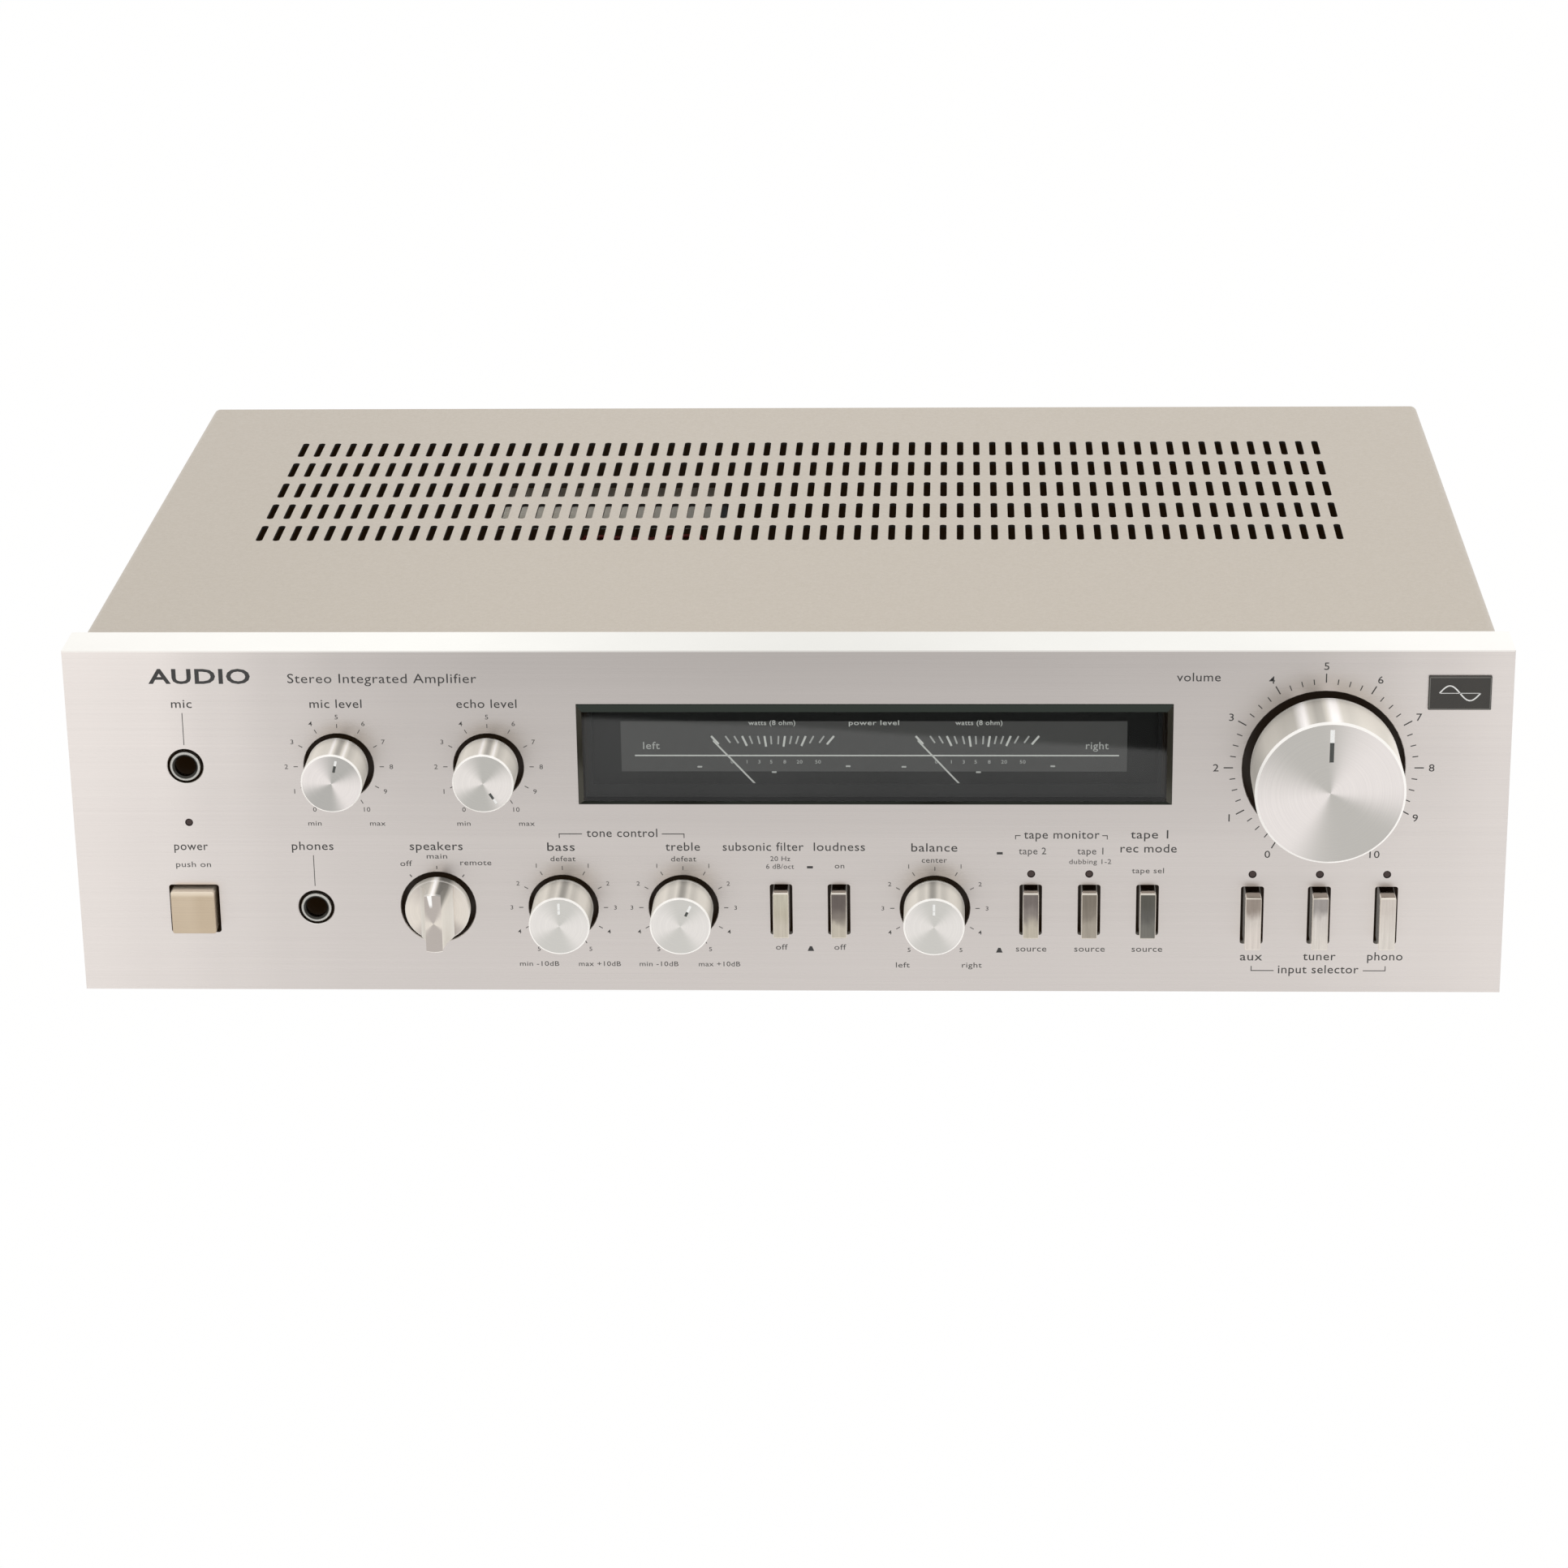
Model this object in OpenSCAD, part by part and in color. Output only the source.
// Full-width stereo integrated amplifier: metal case, control panel with
// rotary and push controls, meter window, and the main assemblies inside.
// +X right, +Y towards the back, +Z up. The origin is the middle of the
// whole outline at table level.

/* [Case] */
// Width of the front panel
panel_w = 430; // [428:1:440]
// Height of the front panel
panel_h = 109.3; // [109:0.1:112]
// Thickness of the front panel face
panel_t = 3; // [2.5:0.1:3.5]
// Depth of the panel's four returns
panel_return = 17.5; // [16:0.5:22]
// Wall of the panel's returns
return_t = 2.5; // [2:0.1:2.5]
// Width of the sheet-metal cover
cover_w = 424; // [424:1:426]
// Rear edge of the cover behind the panel face
cover_back = 266; // [264:1:268]
// Sheet thickness of the cover
cover_t = 1; // [0.8:0.1:1]
// Outer bend radius of the cover
cover_bend = 2.5; // [1.5:0.5:4]
// Clear height of the panel's lower edge above the table
foot_clear = 10; // [8:1:14]

/* [Vents] */
// Slots in one row
vent_cols = 64; // [40:2:66]
// Rows of slots
vent_rows = 5; // [2:1:5]
// Distance between slots in a row
vent_pitch = 5.486; // [5:0.001:5.6]
// Distance between rows
vent_row_pitch = 23.76; // [20:0.01:24]
// First row's centre behind the panel face
vent_first = 119.7; // [115:0.1:122]
// Slot width
vent_w = 2.2; // [1.5:0.1:3]
// Slot length
vent_l = 16.2; // [10:0.1:17]

/* [Controls] */
// Radius of the volume knob
volume_r = 22.1; // [20:0.1:22.4]
// How far the volume knob stands out of the panel
volume_out = 21.3; // [14:0.1:22]
// Radius of the small knobs
small_r = 9.15; // [8:0.05:9.4]
// Radius of the control shafts
shaft_r = 3; // [2.5:0.1:3]
// Radial running clearance of shafts and pins
run_clear = 0.05; // [0.03:0.01:0.08]
// Travel of the push buttons
push_travel = 4; // [2:0.5:4]
// Radius of the 6.35 mm plug's bore
jack_r = 3.2; // [3.2:0.01:3.25]

/* [Cord] */
// Radius of the mains cord
cord_r = 3.2; // [2.5:0.1:3.2]

/* [Hidden] */
$fn = 64;
overlap = 0.01;

// Case levels: z from the panel's lower edge, y from the panel's face
base_z = return_t;              // underside of the base plate
base_t = 1.2;
cover_top = panel_h - 1;        // outside of the cover
cover_inner = cover_w / 2 - cover_t;
base_edge = cover_inner - 0.1;  // outside of the base's side flanges
sub_y = 9;                      // front of the sub-panel
sub_t = 1.2;
sub_back = sub_y + sub_t;
sub_top = panel_h - return_t - 1;
sub_half_w = 209;
rear_y = 262.8;                 // front of the rear panel
rear_t = 1.2;
rear_back = rear_y + rear_t;
rear_top = cover_top - cover_t - 0.2;
rear_half_w = 209.5;

// Depth of the whole outline: volume knob's face to the back of the cord hank
hank_y = 270.6;
hank_pitch = 2 * cord_r + 0.1;
y_centre = (hank_y + 2 * hank_pitch + cord_r - volume_out) / 2;

// Shaft centres of the rotary controls, [x, z]
volume_at = [160.3, 72.4];
mic_at = [-134.1, 72.7];
echo_at = [-89.05, 72.7];
speakers_at = [-105.7, 27.4];
bass_at = [-67.8, 27.3];
treble_at = [-31.5, 27.3];
balance_at = [44.35, 27.2];
level_out = 14.6;       // mic and echo knobs
tone_out = 15;          // bass, treble and balance knobs
knob_front = 4;         // solid knob ahead of the bore
shaft_back = 17.5;      // rear end of the shafts
small_hole_r = small_r + 1.35;
// [shaft centre, panel hole radius, panel hole's offset from the shaft]
rotaries = [
  [volume_at, volume_r + 2, [-0.4, 0.1]],
  [mic_at, small_hole_r, [0.3, 0]],
  [echo_at, small_hole_r, [0.25, 0]],
  [speakers_at, 11.35, [0, 0]],
  [bass_at, small_hole_r, [0.1, 0]],
  [treble_at, small_hole_r, [0.2, 0]],
  [balance_at, small_hole_r, [0.2, 0]]
];

// Slim push buttons: [x, slot width, slot bottom, slot top, how far the cap stands out]
function low_button(x) = [x, 6.8, 18.6, 35, 4.5];
function source_button(x) = [x, 6.9, 15.9, 34.5, 6.5];
subsonic = low_button(-1.8);
loudness = low_button(15.65);
tape2 = low_button(73.35);
tape1 = low_button(90.9);
rec_mode = low_button(108.4);
aux = source_button(139.8);
tuner = source_button(159.8);
phono = source_button(179.85);
slim_buttons = [subsonic, loudness, tape2, tape1, rec_mode, aux, tuner, phono];
stem_z = 26.5;
stem_w = 3;
stem_back = 30;
function stem_at(button) = [button[0], stem_z];

power_at = [-179.8, 26.8];
power_slot = [15.2, 15.6];
power_cap = [13.3, 13.7];
power_out = 4;
power_stem_w = 5;
power_stem_back = 32;
cap_back = 4.4;         // rear face of all button caps

jacks = [[-180.05, 72.8], [-142.85, 27.2]];
jack_hole_r = 5.4;
led_r = 1.1;
led_hole_r = led_r + 0.1;
leds = [[73.45, 38.45], [90.85, 38.45], [139.7, 38.4], [159.8, 38.4], [179.85, 38.4], [-180, 54.8]];

// Meter window and the housing behind it
window_x = [-62.1, 115.2];
window_z = [60.75, 92.6];
pane_gap = 0.1;
pane_edge_y = -0.3;     // where the pane's bevel starts
pane_bevel = 1.7;
pane_wall = 2.2;
housing_x = [window_x[0] + 3, window_x[1] - 3];
housing_z = [43.2, 91.8];
housing_back = 32;
housing_wall = 1.2;
scale_y = 6.4;
scale_t = 0.6;
left_needle_at = [-3.3, 58.7];
right_needle_at = [57.9, 58.7];
needles = [left_needle_at, right_needle_at];
needle_len = 27.5;
needle_lean = 42;       // to the left of upright
pivot_r = 0.6;

// Rear panel furniture
rca_x = 96;
rca_pitch = 15;
rca_cols = 7;
rca_z = [58, 80];
terminal_x = -148;
terminal_pitch = 22;
terminal_cols = 4;
terminal_z = [52, 76];
cord_at = [-184, 50];
ground_at = [196, 36];

// Screws and feet
rear_screws = [[-203, 98], [203, 98], [0, 98], [-203, 9], [0, 9], [203, 9]];
side_screw_y = [62, 228];
side_screw_z = 9.5;
screw_hole_r = 1.7;
foot_x = 172;
foot_y = [46, 228];

// Assemblies inside, and how far their bosses lift them above the base's underside
board_t = 1.6;
board_lift = 9.5;
board_z = base_z + board_lift;
board_top = board_z + board_t;
control_lift = 8;
sink_x = [-98, -24];
sink_y = [150, 184];
sink_top = 101;
sink_lift = 6;
core_at = [-164, 153];
core_lift = 5;
core_half_y = 22;
leg_half_w = 11;        // centre leg of the core
core_window_x = 22;     // outer side of the core's windows
core_window_z = [13, 53];

// ---- helpers ----
// Puts case coordinates into the frame of the whole outline
module in_case() {
  translate([0, -y_centre, foot_clear]) children();
}
// Local +Z becomes the direction out of the front panel; at is [x, z]
module out_front(at, y = 0) {
  translate([at[0], y, at[1]]) rotate([90, 0, 0]) children();
}
// Local +Z becomes the direction out of the back; at is [x, z]
module out_back(at, y = 0) {
  translate([at[0], y, at[1]]) rotate([-90, 0, 0]) children();
}
// A box given by its two corners
module span(low, high) {
  translate(low) cube(high - low);
}
// A box of width w and height h round the point at = [x, z], from y0 back to y1
module bar(at, w, h, y0, y1) {
  span([at[0] - w / 2, y0, at[1] - h / 2], [at[0] + w / 2, y1, at[1] + h / 2]);
}
// A box on the right (side = 1) or left (side = -1), between two distances from x = 0
module side_box(side, inner, outer, y, z) {
  span([side > 0 ? inner : -outer, y[0], z[0]], [side > 0 ? outer : -inner, y[1], z[1]]);
}
// Rounded slot outline centred on the origin
module slot2d(w, l) {
  square([w, l - w], center = true);
  translate([0, (l - w) / 2]) circle(d = w, $fn = 24);
  translate([0, -(l - w) / 2]) circle(d = w, $fn = 24);
}
// Rectangle with softened corners centred on the origin
module soft_box(w, h, r) {
  square([w - 2 * r, h], center = true);
  square([w, h - 2 * r], center = true);
  for (sx = [-1, 1], sy = [-1, 1])
    translate([sx * (w / 2 - r), sy * (h / 2 - r)]) circle(r = r, $fn = 20);
}
// Cutters through the front panel, the sub-panel and the rear panel
module panel_hole(at, r, facets = 64) {
  out_front(at, panel_t + 1) cylinder(r = r, h = panel_t + 2, $fn = facets);
}
module panel_slot(at, w, h, r) {
  out_front(at, panel_t + 1) linear_extrude(panel_t + 2) soft_box(w, h, r);
}
module sub_hole(at, r, facets = 64) {
  out_front(at, sub_back + 1) cylinder(r = r, h = sub_t + 2, $fn = facets);
}
module rear_hole(r, facets = 64) {
  cylinder(r = r, h = rear_t + 2, $fn = facets);
}
module screw_hole(length) {
  cylinder(r = screw_hole_r, h = length, $fn = 32);
}
// Upright grooves round a cap
module flutes(distance, z, r, h) {
  for (a = [0 : 30 : 330]) rotate([0, 0, a]) translate([distance, 0, z])
    cylinder(r = r, h = h, $fn = 16);
}
// Repeated places
module at_feet(z) {
  for (side = [-1, 1], y = foot_y) translate([side * foot_x, y, z]) children();
}
module at_side_screws(x) {
  for (side = [-1, 1], y = side_screw_y)
    translate([side * x, y, side_screw_z]) rotate([0, 90 * side, 0]) children();
}
module at_rca(y) {
  for (i = [0 : rca_cols - 1], z = rca_z) out_back([rca_x + i * rca_pitch, z], y) children();
}
module at_terminals(y) {
  for (i = [0 : terminal_cols - 1], z = terminal_z)
    out_back([terminal_x + i * terminal_pitch, z], y) children();
}

// ---- case ----
// Fine chamfer at the mouth of a round hole
module mouth_chamfer(at, r, facets = 64) {
  out_front(at, 0.3) cylinder(r1 = r - 0.1, r2 = r + 0.25, h = 0.35, $fn = facets);
}
module front_panel() color("lightgray") in_case() difference() {
  chamfer = 0.5; // side of the bar that cuts the face's edges
  span([-panel_w / 2, 0, 0], [panel_w / 2, panel_return, panel_h]);
  span([-panel_w / 2 + return_t, panel_t, return_t],
    [panel_w / 2 - return_t, panel_return + 1, panel_h - return_t]);
  for (c = rotaries) {
    panel_hole(c[0] + c[2], c[1], 96);
    mouth_chamfer(c[0] + c[2], c[1], 96);
  }
  for (at = jacks) {
    panel_hole(at, jack_hole_r);
    mouth_chamfer(at, jack_hole_r);
  }
  for (at = leds) panel_hole(at, led_hole_r, 32);
  for (b = slim_buttons) panel_slot([b[0], (b[2] + b[3]) / 2], b[1], b[3] - b[2], 0.8);
  panel_slot(power_at, power_slot[0], power_slot[1], 0.9);
  span([window_x[0], -1, window_z[0]], [window_x[1], panel_t + 1, window_z[1]]);
  // Fine chamfers round the face
  for (side = [-1, 1]) translate([side * panel_w / 2, 0, panel_h / 2]) rotate([0, 0, 45])
    cube([chamfer, chamfer, panel_h + 8], center = true);
  for (z = [0, panel_h]) translate([0, 0, z]) rotate([45, 0, 0])
    cube([panel_w + 8, chamfer, chamfer], center = true);
}

module front_subpanel() color("#26262a") in_case() difference() {
  union() {
    span([-sub_half_w, sub_y, base_z + base_t], [sub_half_w, sub_back, sub_top]);
    // Fold along the top edge
    span([-sub_half_w, sub_y, sub_top - sub_t], [sub_half_w, sub_y + 16, sub_top]);
  }
  for (c = rotaries) sub_hole(c[0], 4.6);
  for (at = jacks) sub_hole(at, 4);
  for (at = leds) sub_hole(at, led_hole_r, 32);
  for (b = slim_buttons) bar(stem_at(b), stem_w + 0.8, stem_w + 0.8, sub_y - 1, sub_back + 1);
  bar(power_at, power_stem_w + 1, power_stem_w + 1, sub_y - 1, sub_back + 1);
  // Opening for the meter housing
  span([housing_x[0] - 0.4, sub_y - 1, housing_z[0] - 0.3],
    [housing_x[1] + 0.4, sub_back + 1, housing_z[1] + 0.3]);
}

// Cross-section of the cover: an upside-down channel with bent edges.
// An inset outline runs on below so that it cuts the channel open.
module cover_outline(inset) {
  half_w = cover_w / 2 - inset;
  top = cover_top - inset;
  r = cover_bend - inset;
  drop = inset > 0 ? 5 : 0;
  translate([-half_w, base_z - drop]) square([2 * half_w, top - r - base_z + drop]);
  translate([-(half_w - r), base_z]) square([2 * (half_w - r), top - base_z]);
  for (side = [-1, 1]) translate([side * (half_w - r), top - r]) circle(r = r, $fn = 48);
}
module top_cover() color("#c8c0b4") in_case() difference() {
  translate([0, cover_back, 0]) rotate([90, 0, 0])
    linear_extrude(height = cover_back - panel_return - 0.3) difference() {
      cover_outline(0);
      cover_outline(cover_t);
    }
  translate([0, 0, cover_top - cover_t - 1]) linear_extrude(height = cover_t + 2)
    for (i = [0 : vent_cols - 1], k = [0 : vent_rows - 1])
      translate([(i - (vent_cols - 1) / 2) * vent_pitch, vent_first + k * vent_row_pitch])
        slot2d(vent_w, vent_l);
  at_side_screws(cover_w / 2 - 3) screw_hole(6);
}

module bosses(xs, ys, r, h) {
  for (x = xs, y = ys) translate([x, y, base_z]) cylinder(r = r, h = h);
}
module chassis_base() color("#9a9a92") in_case() difference() {
  lip_half_w = 208;
  union() {
    span([-base_edge, sub_back, base_z], [base_edge, rear_y, base_z + base_t]);
    span([-sub_half_w, sub_y, base_z], [sub_half_w, sub_back + overlap, base_z + base_t]);
    // Side flanges and the lips at the back and front
    for (side = [-1, 1])
      side_box(side, base_edge - base_t, base_edge, [18, rear_y], [base_z, base_z + 14]);
    span([-lip_half_w, rear_y - base_t, base_z], [lip_half_w, rear_y, base_z + 13]);
    span([-lip_half_w, sub_back, base_z], [lip_half_w, sub_back + base_t, base_z + 9.8]);
    // Raised bosses: main board, control board, heat sink and transformer
    bosses([-112, 20, 152], [64, 140], 4, board_lift);
    bosses([-104, 0, 130, 188], [48], 3.5, control_lift);
    bosses([-90, -32], [166], 5, sink_lift);
    bosses([core_at[0] - 32, core_at[0] + 32], [core_at[1] - 33, core_at[1] + 33], 5, core_lift);
  }
  // Cooling slots in the floor, left out of the last row near the left rear foot
  translate([0, 0, base_z - 1]) linear_extrude(height = base_t + 2)
    for (x = [-80 : 16 : 160], y = [78, 102, 126, 208, 232])
      if (!(x < -60 && y == 232)) translate([x, y]) slot2d(3, 18);
  at_feet(base_z - 1) screw_hole(4);
  at_side_screws(cover_inner - 4) screw_hole(8);
  for (at = rear_screws) if (at[1] < 20) out_back(at, rear_y - 4) screw_hole(6);
}

module rear_panel() color("#1e1e20") in_case() difference() {
  union() {
    span([-rear_half_w, rear_y, base_z + 0.1], [rear_half_w, rear_back, rear_top]);
    // Folded top edge
    span([-rear_half_w, rear_y - 9, rear_top - rear_t], [rear_half_w, rear_y + overlap, rear_top]);
  }
  at_rca(rear_y - 1) rear_hole(4.9);
  at_terminals(rear_y - 1) rear_hole(5.2);
  out_back(cord_at, rear_y - 1) rear_hole(7);
  out_back(ground_at, rear_y - 1) rear_hole(2.05, 32);
  for (at = rear_screws) out_back(at, rear_y - 1) screw_hole(rear_t + 2);
  // Upright cooling slots between the terminals and the sockets
  translate([0, rear_back + 1, 0]) rotate([90, 0, 0]) linear_extrude(height = rear_t + 2)
    for (x = [-44 : 8 : 68]) translate([x, 35]) slot2d(3, 30);
}

// Turned foot with a recess for the screw head, [radius, z]
module foot() {
  top = foot_clear + base_z;
  rotate_extrude($fn = 64) polygon([
    [2.6, 5.5], [5.2, 5.5], [5.2, 0.6], [5.8, 0], [10.4, 0], [11.2, 0.8], [12, 8],
    [12, top], [screw_hole_r, top], [screw_hole_r, 7], [2.6, 7]
  ]);
}
module feet() color("#222224") translate([0, -y_centre, 0]) at_feet(0) foot();

// Pan-head screw, [radius, z]: head's underside at z = 0, shank towards -Z
module pan_screw(length) {
  rotate_extrude($fn = 48) polygon([
    [0, -length], [1.35, -length], [1.6, -length + 0.4], [1.6, 0], [3.2, 0], [3.2, 0.9],
    [2.5, 1.7], [1.3, 2], [1.3, 1.1], [0, 1.1]
  ]);
}
module case_screws() color("#3a3a3c") {
  translate([0, -y_centre, 0]) at_feet(5.4) rotate([180, 0, 0]) pan_screw(9.5);
  in_case() {
    at_side_screws(cover_w / 2) pan_screw(6);
    for (at = rear_screws) out_back(at, rear_back) pan_screw(6);
  }
}

// ---- meter ----
// Section of the bevelled pane between two edges of the window, [y, across]
function pane_section(edges) =
  let (low = edges[0] + pane_gap, high = edges[1] - pane_gap, face = pane_edge_y - pane_bevel) [
    [panel_t, low], [panel_t, high], [pane_edge_y, high],
    [face, high - pane_bevel], [face, low + pane_bevel], [pane_edge_y, low]
  ];
module window_pane() color([0.12, 0.13, 0.13, 0.6]) in_case() difference() {
  intersection() {
    translate([window_x[0] - 1, 0, 0]) rotate([90, 0, 90])
      linear_extrude(height = window_x[1] - window_x[0] + 2) polygon(pane_section(window_z));
    translate([0, 0, window_z[0] - 1]) linear_extrude(height = window_z[1] - window_z[0] + 2)
      polygon([for (p = pane_section(window_x)) [p[1], p[0]]]);
  }
  // Hollow behind the face
  span([window_x[0] + pane_wall, -0.2, window_z[0] + pane_wall],
    [window_x[1] - pane_wall, panel_t + 1, window_z[1] - pane_wall]);
}

// Box inside the housing's outline, drawn in by the given margin
module housing_box(margin, y0, y1, bottom = housing_z[0]) {
  span([housing_x[0] + margin, y0, bottom + margin],
    [housing_x[1] - margin, y1, housing_z[1] - margin]);
}
module meter_housing() color("#141416") in_case() difference() {
  housing_box(0, panel_t + 0.1, housing_back);
  housing_box(housing_wall, panel_t + 1.2, housing_back - housing_wall);
  // Opening in the front wall, seen through the pane
  housing_box(housing_wall, panel_t - 1, panel_t + 2, 66 - housing_wall);
}

module meter_scale() color("#2c2d2f") in_case() difference() {
  housing_box(housing_wall + 0.05, scale_y, scale_y + scale_t);
  for (at = needles) out_front(at, scale_y + 2) cylinder(r = 3.2, h = 4, $fn = 48);
}

// Round bodies with a narrower nose, bored for the needle pivots
module meter_movements() color("#8c8c88") in_case() for (at = needles) {
  out_front(at, 30.7) difference() {
    union() {
      cylinder(r = 12, h = 19, $fn = 64);
      cylinder(r = 3, h = 24.4, $fn = 48);
    }
    translate([0, 0, 12]) cylinder(r = pivot_r + run_clear, h = 20, $fn = 32);
  }
}

// Pointer and tail on a small round hub with its pivot pin
module needle(at) color("white") in_case() out_front(at) {
  blade_z = -5.5;
  blade = 0.4;
  tail = [1, 6, blade];
  translate([0, 0, -5.9]) cylinder(r = 2, h = 1.2, $fn = 32);
  translate([0, 0, -16]) cylinder(r = pivot_r, h = 10.5, $fn = 32);
  rotate([0, 0, needle_lean]) translate([-blade / 2, 0, blade_z]) cube([blade, needle_len, blade]);
  rotate([0, 0, needle_lean]) translate([-tail[0] / 2, -tail[1], blade_z]) cube(tail);
}
module left_needle() needle(left_needle_at);
module right_needle() needle(right_needle_at);

// ---- panel furniture ----
module badge_plate() color("#101012") in_case() span([189.9, -0.8, 91.0], [208.4, 0, 101.5]);

module jack_sockets() color("#1a1a1c") in_case() for (at = jacks) out_front(at) difference() {
  body_w = 16;
  body_back = 36;
  union() {
    translate([-body_w / 2, -body_w / 2, -body_back]) cube([body_w, body_w, body_back - sub_back]);
    translate([0, 0, -12]) cylinder(r = 3.9, h = 10);
  }
  translate([0, 0, -34]) cylinder(r = jack_r, h = 40);
}

// Sleeve nuts round the socket noses, [radius, distance out of the panel]
module jack_nuts() color("silver") in_case() for (at = jacks) out_front(at) rotate_extrude()
  polygon([
    [3.95, -8.98], [4.55, -8.98], [4.55, 0.1], [4.35, 0.3],
    [jack_r + 0.35, 0.3], [jack_r, -0.05], [jack_r, -1.98], [3.95, -1.98]
  ]);

// Round rods with slightly domed ends
module indicator_leds() color("#3a1512") in_case() for (at = leds) out_front(at) {
  translate([0, 0, -14]) cylinder(r = led_r, h = 13.3, $fn = 32);
  translate([0, 0, -0.75]) intersection() {
    sphere(r = led_r, $fn = 32);
    translate([-2, -2, -overlap]) cube([4, 4, 0.6]);
  }
}

// Turned knob, [radius, distance out]: bore from the back, a fine groove, chamfered rim
module knob_body(r, out, chamfer = 0.5) {
  rotate_extrude($fn = 128) polygon([
    [shaft_r, -0.3], [r - 0.3, -0.3], [r, 0], [r, 0.9], [r - 0.2, 1], [r - 0.2, 1.2], [r, 1.3],
    [r, out - chamfer], [r - chamfer, out], [0, out],
    [0, out - knob_front], [shaft_r, out - knob_front]
  ]);
}
// Small knob with its mark turned clockwise by angle, seen from the front
module small_knob(at, out, angle = 0) color("#d6d6d4") in_case() out_front(at) difference() {
  knob_body(small_r, out);
  rotate([0, 0, -angle]) translate([-0.4, 3.6, out - 0.3]) cube([0.8, 3.8, 1]);
}
module volume_knob() color("#d6d6d4") in_case() out_front(volume_at) difference() {
  knob_body(volume_r, volume_out, 0.7);
  translate([-0.65, 9.6, volume_out - 0.4]) cube([1.3, 10.2, 1]);
}
module mic_knob() small_knob(mic_at, level_out, 13);
module echo_knob() small_knob(echo_at, level_out, 148);
module bass_knob() small_knob(bass_at, tone_out);
module treble_knob() small_knob(treble_at, tone_out, 26);
module balance_knob() small_knob(balance_at, tone_out);

// Disc with an upright bar grip that narrows towards the finger edge
speakers_out = 13.5;
speakers_bore = 7;
module speakers_knob() color("#cfccc4") in_case() out_front(speakers_at) difference() {
  union() {
    rotate_extrude($fn = 96)
      polygon([[0, -0.3], [9.5, -0.3], [9.8, 0], [9.8, 2.7], [9.5, 3], [0, 3]]);
    intersection() {
      translate([0, 15, 0]) rotate([90, 0, 0]) linear_extrude(height = 30) difference() {
        translate([-5, 0]) square([10, speakers_out]);
        for (x = [14.3, -14.3]) translate([x, 11.4]) circle(r = 12, $fn = 96);
      }
      rotate_extrude($fn = 96) polygon([
        [0, 0], [9.5, 0], [9.5, speakers_out - 0.5], [9.1, speakers_out], [0, speakers_out]
      ]);
    }
  }
  translate([0, 0, -5]) cylinder(r = shaft_r, h = speakers_bore + 5);
}

// Shaft from the end of the knob's bore back into the control
module shaft(at, out) color("#b5b5b0") in_case() out_front(at)
  translate([0, 0, -shaft_back]) cylinder(r = shaft_r, h = shaft_back + out, $fn = 48);
module volume_shaft() shaft(volume_at, volume_out - knob_front);
module mic_shaft() shaft(mic_at, level_out - knob_front);
module echo_shaft() shaft(echo_at, level_out - knob_front);
module speakers_shaft() shaft(speakers_at, speakers_bore);
module bass_shaft() shaft(bass_at, tone_out - knob_front);
module treble_shaft() shaft(treble_at, tone_out - knob_front);
module balance_shaft() shaft(balance_at, tone_out - knob_front);

// Control body behind the sub-panel with its bush and a tab below
module pot(at, r, depth) out_front(at) difference() {
  tab_t = 2.5;
  union() {
    translate([0, 0, -sub_back - depth]) cylinder(r = r, h = depth);
    translate([0, 0, -sub_back - 0.5]) cylinder(r = 4.5, h = 5.7);
    translate([-r * 0.8, -r - 2, -sub_back - tab_t]) cube([r * 1.6, r, tab_t]);
  }
  translate([0, 0, -shaft_back - 0.7]) cylinder(r = shaft_r + run_clear, h = 20, $fn = 48);
}
module volume_pot() color("#77756c") in_case() pot(volume_at, 14, 26);
module level_pots() color("#77756c") in_case()
  for (at = [mic_at, echo_at, bass_at, treble_at, balance_at]) pot(at, 8.4, 12);
module speaker_switch() color("#8a7a50") in_case() pot(speakers_at, 12, 22);
module pot_nuts() color("#c0b070") in_case() for (c = rotaries) out_front(c[0]) difference() {
  translate([0, 0, -sub_y]) cylinder(r = 6.6, h = 2, $fn = 6);
  translate([0, 0, -sub_y - 1]) cylinder(r = 4.53, h = 4, $fn = 48);
}

// ---- push buttons ----
module slim_button(b) color("#d9d9d6") in_case() {
  cap_half_w = 2.4;
  span([b[0] - cap_half_w, -b[4], b[2] + 0.3], [b[0] + cap_half_w, cap_back, b[3] - 1.05]);
  bar(stem_at(b), stem_w, stem_w, cap_back - overlap, stem_back);
}
module subsonic_button() slim_button(subsonic);
module loudness_button() slim_button(loudness);
module tape2_button() slim_button(tape2);
module tape1_button() slim_button(tape1);
module rec_mode_button() slim_button(rec_mode);
module aux_button() slim_button(aux);
module tuner_button() slim_button(tuner);
module phono_button() slim_button(phono);
module power_button() color("#c9bda4") in_case() {
  bar(power_at + [0, 0.1], power_cap[0], power_cap[1], -power_out, cap_back);
  bar(power_at, power_stem_w, power_stem_w, cap_back - overlap, power_stem_back);
}

// Switch body with a front flange and a square bore for the stem; sizes are [width, height]
module push_switch(at, body, flange, body_back, stem, stem_end) difference() {
  bore = stem + 2 * run_clear;
  union() {
    bar(at, body[0], body[1], sub_back, body_back);
    bar(at, flange[0], flange[1], sub_back, sub_back + 1.5);
  }
  bar(at, bore, bore, 5, stem_end + push_travel + 1);
}
module push_switches() color("#d8d4c4") in_case() for (b = slim_buttons)
  push_switch(stem_at(b), [9.2, 12], [10.8, 10], 42, stem_w, stem_back);
module power_switch() color("#2a2a2c") in_case()
  push_switch(power_at, [18, 18], [24, 12], 50, power_stem_w, power_stem_back);

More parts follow.
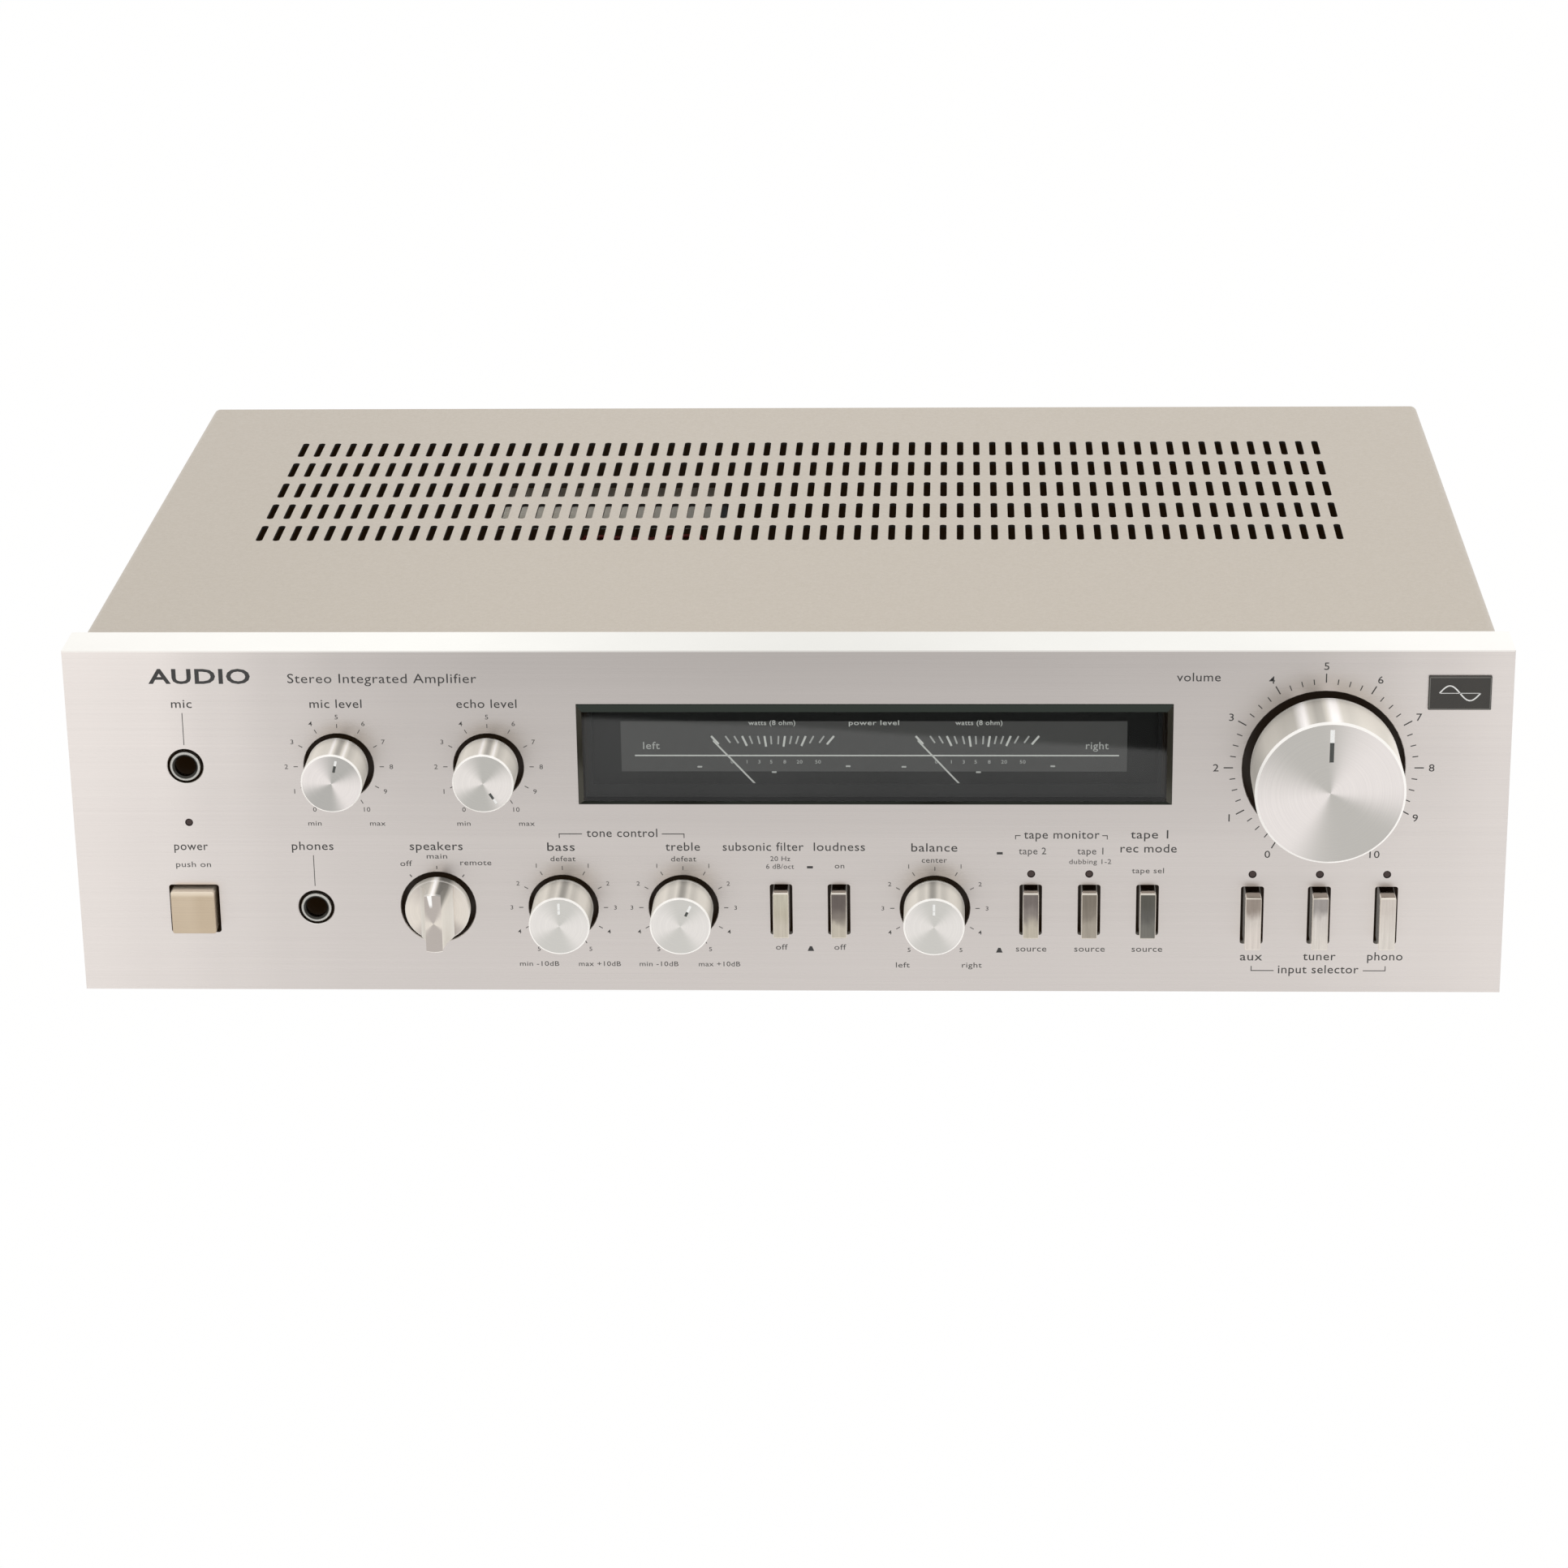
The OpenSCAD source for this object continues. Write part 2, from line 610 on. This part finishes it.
// ---- inside ----
// Upright board and the flat board that runs back from its foot
module control_board() color("#8a6a3a") in_case() {
  x = [-112, 196];
  z = base_z + control_lift;
  span([x[0], 42, z + 0.1], [x[1], 42 + board_t, 38]);
  span([x[0], 43.5, z], [x[1], 52, z + board_t]);
}

module at_core() {
  translate([core_at[0], core_at[1], base_z + core_lift]) children();
}
module transformer_core() color("#50504e") in_case() at_core() difference() {
  union() {
    span([-33, -core_half_y, 0], [33, core_half_y, 66]);
    span([-37, -38, 0], [37, 38, 1.6]);
  }
  // Windows for the winding, open front to back
  for (side = [-1, 1])
    side_box(side, leg_half_w, core_window_x, [-core_half_y - 1, core_half_y + 1], core_window_z);
}
// Ring round the core's centre leg
module transformer_winding() color("#b08a40") in_case() at_core() difference() {
  gap = 0.1;
  x = core_window_x - gap;
  hole_x = leg_half_w + gap;
  hole_y = core_half_y + gap;
  span([-x, -33, core_window_z[0] + gap], [x, 33, core_window_z[1] - gap]);
  span([-hole_x, -hole_y, core_window_z[0] - 1], [hole_x, hole_y, core_window_z[1] + 1]);
}

// Cans with a groove near the foot and a sunken top, [radius, z]
module filter_capacitors() color("#2a3550") in_case() for (x = [-2, 42])
  translate([x, 110, board_top]) rotate_extrude($fn = 64) polygon([
    [0, 0], [16.8, 0], [17.5, 0.8], [17.5, 3], [17, 3.6], [17.5, 4.2],
    [17.5, 44], [16.5, 45], [13, 45], [12.5, 44.4], [0, 44.4]
  ]);

// Upright plate with level fins to the back
module heat_sink() color("#c9cbcc") in_case() {
  plate_t = 4;
  end_t = 2.5;
  bottom = base_z + sink_lift;
  span([sink_x[0], sink_y[0], bottom], [sink_x[1], sink_y[0] + plate_t, sink_top]);
  for (z = [sink_top - end_t, bottom])
    span([sink_x[0], sink_y[0], z], [sink_x[1], sink_y[1], z + end_t]);
  for (z = [bottom + 5 : 9 : 92])
    span([sink_x[0], sink_y[0] + plate_t - 0.1, z], [sink_x[1], sink_y[1], z + 1.6]);
}

// Blocks on the front of the heat sink with legs down to the main board
module output_modules() color("#18181a") in_case() for (x = [-80, -42]) {
  bottom = 56;
  leg_pitch = 2.6;
  span([x - 16, sink_y[0] - 8, bottom], [x + 16, sink_y[0], bottom + 30]);
  for (i = [-5 : 5])
    span([x + i * leg_pitch - 0.4, 145, board_top],
      [x + i * leg_pitch + 0.4, 145.6, bottom + overlap]);
}
module main_board() color("#9a7a44") in_case() difference() {
  span([-118, 56, board_z], [160, 148, board_top]);
  for (x = [-90, 90]) translate([x, 66, board_z - 1]) cylinder(r = 1.5, h = 4, $fn = 24);
}

// ---- back ----
module rca_block() color("#1c1c1e") in_case() difference() {
  union() {
    span([rca_x - 8, rear_y - 9, rca_z[0] - 9],
      [rca_x + (rca_cols - 1) * rca_pitch + 8, rear_y - 0.02, rca_z[1] + 9]);
    at_rca(rear_y - 1) cylinder(r = 4.8, h = 3.4, $fn = 48);
  }
  at_rca(rear_y - 8.02) cylinder(r = 3.72, h = 14.02, $fn = 48);
}
// Socket sleeves, [radius, distance towards the back]
module rca_sleeves() color("silver") in_case() at_rca(rear_y - 8) {
  tip = 18;
  rotate_extrude($fn = 48) polygon([
    [1.65, 1], [3.7, 0], [3.7, 10.45], [4.15, 10.45], [4.15, tip - 0.3],
    [3.85, tip], [3.3, tip], [3.3, 13], [1.65, 13]
  ]);
}

module speaker_terminals() color("#161618") in_case() difference() {
  span([terminal_x - 13, rear_back, terminal_z[0] - 12],
    [terminal_x + (terminal_cols - 1) * terminal_pitch + 13, rear_back + 2.6, terminal_z[1] + 12]);
  at_terminals(rear_y) cylinder(r = 3.1, h = 8, $fn = 48);
}
// Fluted screw caps, each on its stud
module terminal_caps() color("#9c1c1c") in_case() at_terminals(rear_back) {
  translate([0, 0, -12]) cylinder(r = 3, h = 16, $fn = 48);
  difference() {
    translate([0, 0, 3.9]) cylinder(r = 6.2, h = 9.5, $fn = 64);
    flutes(6.6, 5, 0.9, 10);
    translate([0, 0, 8]) cylinder(r = 2.1, h = 8, $fn = 32);
  }
}

// Stud, washer and fluted nut
module ground_post() color("#c8c8c4") in_case() out_back(ground_at, rear_back) {
  translate([0, 0, -8]) cylinder(r = 2, h = 10, $fn = 32);
  cylinder(r = 4.2, h = 1, $fn = 48);
  difference() {
    translate([0, 0, 1.6]) cylinder(r = 4.6, h = 5.4, $fn = 48);
    flutes(4.9, 1, 0.6, 8);
  }
}

// Mains cord: out through its grip, down, and tied up in a flat hank that
// rests on the table behind the case, with the moulded plug at its end
hank_r = 16;
hank_x = [cord_at[0] + hank_r, -78];    // centres of the end bends
table_z = -foot_clear + cord_r;         // cord lying on the table
hank_z = table_z + hank_r;
plug_h = 34;
plug_z = -foot_clear + plug_h / 2;
rise_angle = 20;
rise_l = (plug_z - table_z) / sin(rise_angle);

module cord_run(length) {
  cylinder(r = cord_r, h = length, $fn = 32);
}
module cord_bend(r, angle) {
  rotate_extrude(angle = angle, $fn = 64) translate([r, 0]) circle(r = cord_r, $fn = 32);
}
module hank_bend(x, y, start, sweep) {
  translate([x, y, hank_z]) rotate([90, 0, 0]) rotate([0, 0, start]) cord_bend(hank_r, sweep);
}
module hank_turn(y) {
  hank_bend(hank_x[0], y, 90, 180);
  hank_bend(hank_x[1], y, -90, 180);
  for (s = [-1, 1]) translate([hank_x[0], y, hank_z + s * hank_r]) rotate([0, 90, 0])
    cord_run(hank_x[1] - hank_x[0]);
}
// Boot, flat two-pin body and pins, pointing along +X
module plug() {
  edge = plug_h / 2;
  rotate([0, 90, 0]) rotate_extrude($fn = 48) polygon([[0, -2], [4.4, -2], [5.8, 10], [0, 10]]);
  translate([0, 6.9, 0]) rotate([90, 0, 0]) linear_extrude(height = 13.8) polygon([
    [8, -7], [12, -8.5], [24, -edge], [41, -edge], [42, -edge + 1],
    [42, edge - 1], [41, edge], [24, edge], [12, 8.5], [8, 7]
  ]);
  for (s = [-1, 1]) translate([41, 0, s * 9.3]) rotate([0, 90, 0])
    cylinder(r = 2, h = 20, $fn = 32);
}
module power_cord() color("#1b1b1d") in_case() {
  y = hank_y + hank_pitch;
  bend = 6;
  start_y = 250;
  // Two closed turns with the running length between them
  hank_turn(hank_y);
  hank_turn(hank_y + 2 * hank_pitch);
  // Lead from inside the case, over the bend and down into the hank
  out_back(cord_at, start_y) cord_run(y - bend - start_y);
  translate([cord_at[0], y - bend, cord_at[1] - bend]) rotate([90, 0, 90]) cord_bend(bend, 90);
  translate([cord_at[0], y, hank_z]) cord_run(cord_at[1] - bend - hank_z);
  hank_bend(hank_x[0], y, 180, 90);
  // Free end along the table, then a rise into the plug
  translate([hank_x[0], y, table_z]) rotate([0, 90, 0]) cord_run(hank_x[1] - hank_x[0] + 0.5);
  translate([hank_x[1], y, table_z]) rotate([0, 90 - rise_angle, 0]) cord_run(rise_l + 3);
  translate([hank_x[1] + rise_l * cos(rise_angle), y, plug_z]) plug();
}
// Collar round the cord, [radius, distance towards the back]
module cord_grip() color("#161618") in_case() out_back(cord_at, rear_y)
  rotate_extrude($fn = 64) polygon([
    [cord_r + 0.1, -6], [6.4, -6], [6.9, -5], [6.9, 1.25], [8.4, 1.25],
    [8.4, 3.4], [7.4, 4.4], [cord_r + 0.1, 4.4]
  ]);

front_panel();
front_subpanel();
top_cover();
chassis_base();
rear_panel();
feet();
case_screws();
window_pane();
meter_housing();
meter_scale();
meter_movements();
left_needle();
right_needle();
badge_plate();
jack_sockets();
jack_nuts();
indicator_leds();
volume_knob();
mic_knob();
echo_knob();
speakers_knob();
bass_knob();
treble_knob();
balance_knob();
volume_shaft();
mic_shaft();
echo_shaft();
speakers_shaft();
bass_shaft();
treble_shaft();
balance_shaft();
volume_pot();
level_pots();
speaker_switch();
pot_nuts();
power_button();
subsonic_button();
loudness_button();
tape2_button();
tape1_button();
rec_mode_button();
aux_button();
tuner_button();
phono_button();
push_switches();
power_switch();
control_board();
transformer_core();
transformer_winding();
filter_capacitors();
heat_sink();
output_modules();
main_board();
rca_block();
rca_sleeves();
speaker_terminals();
terminal_caps();
ground_post();
power_cord();
cord_grip();
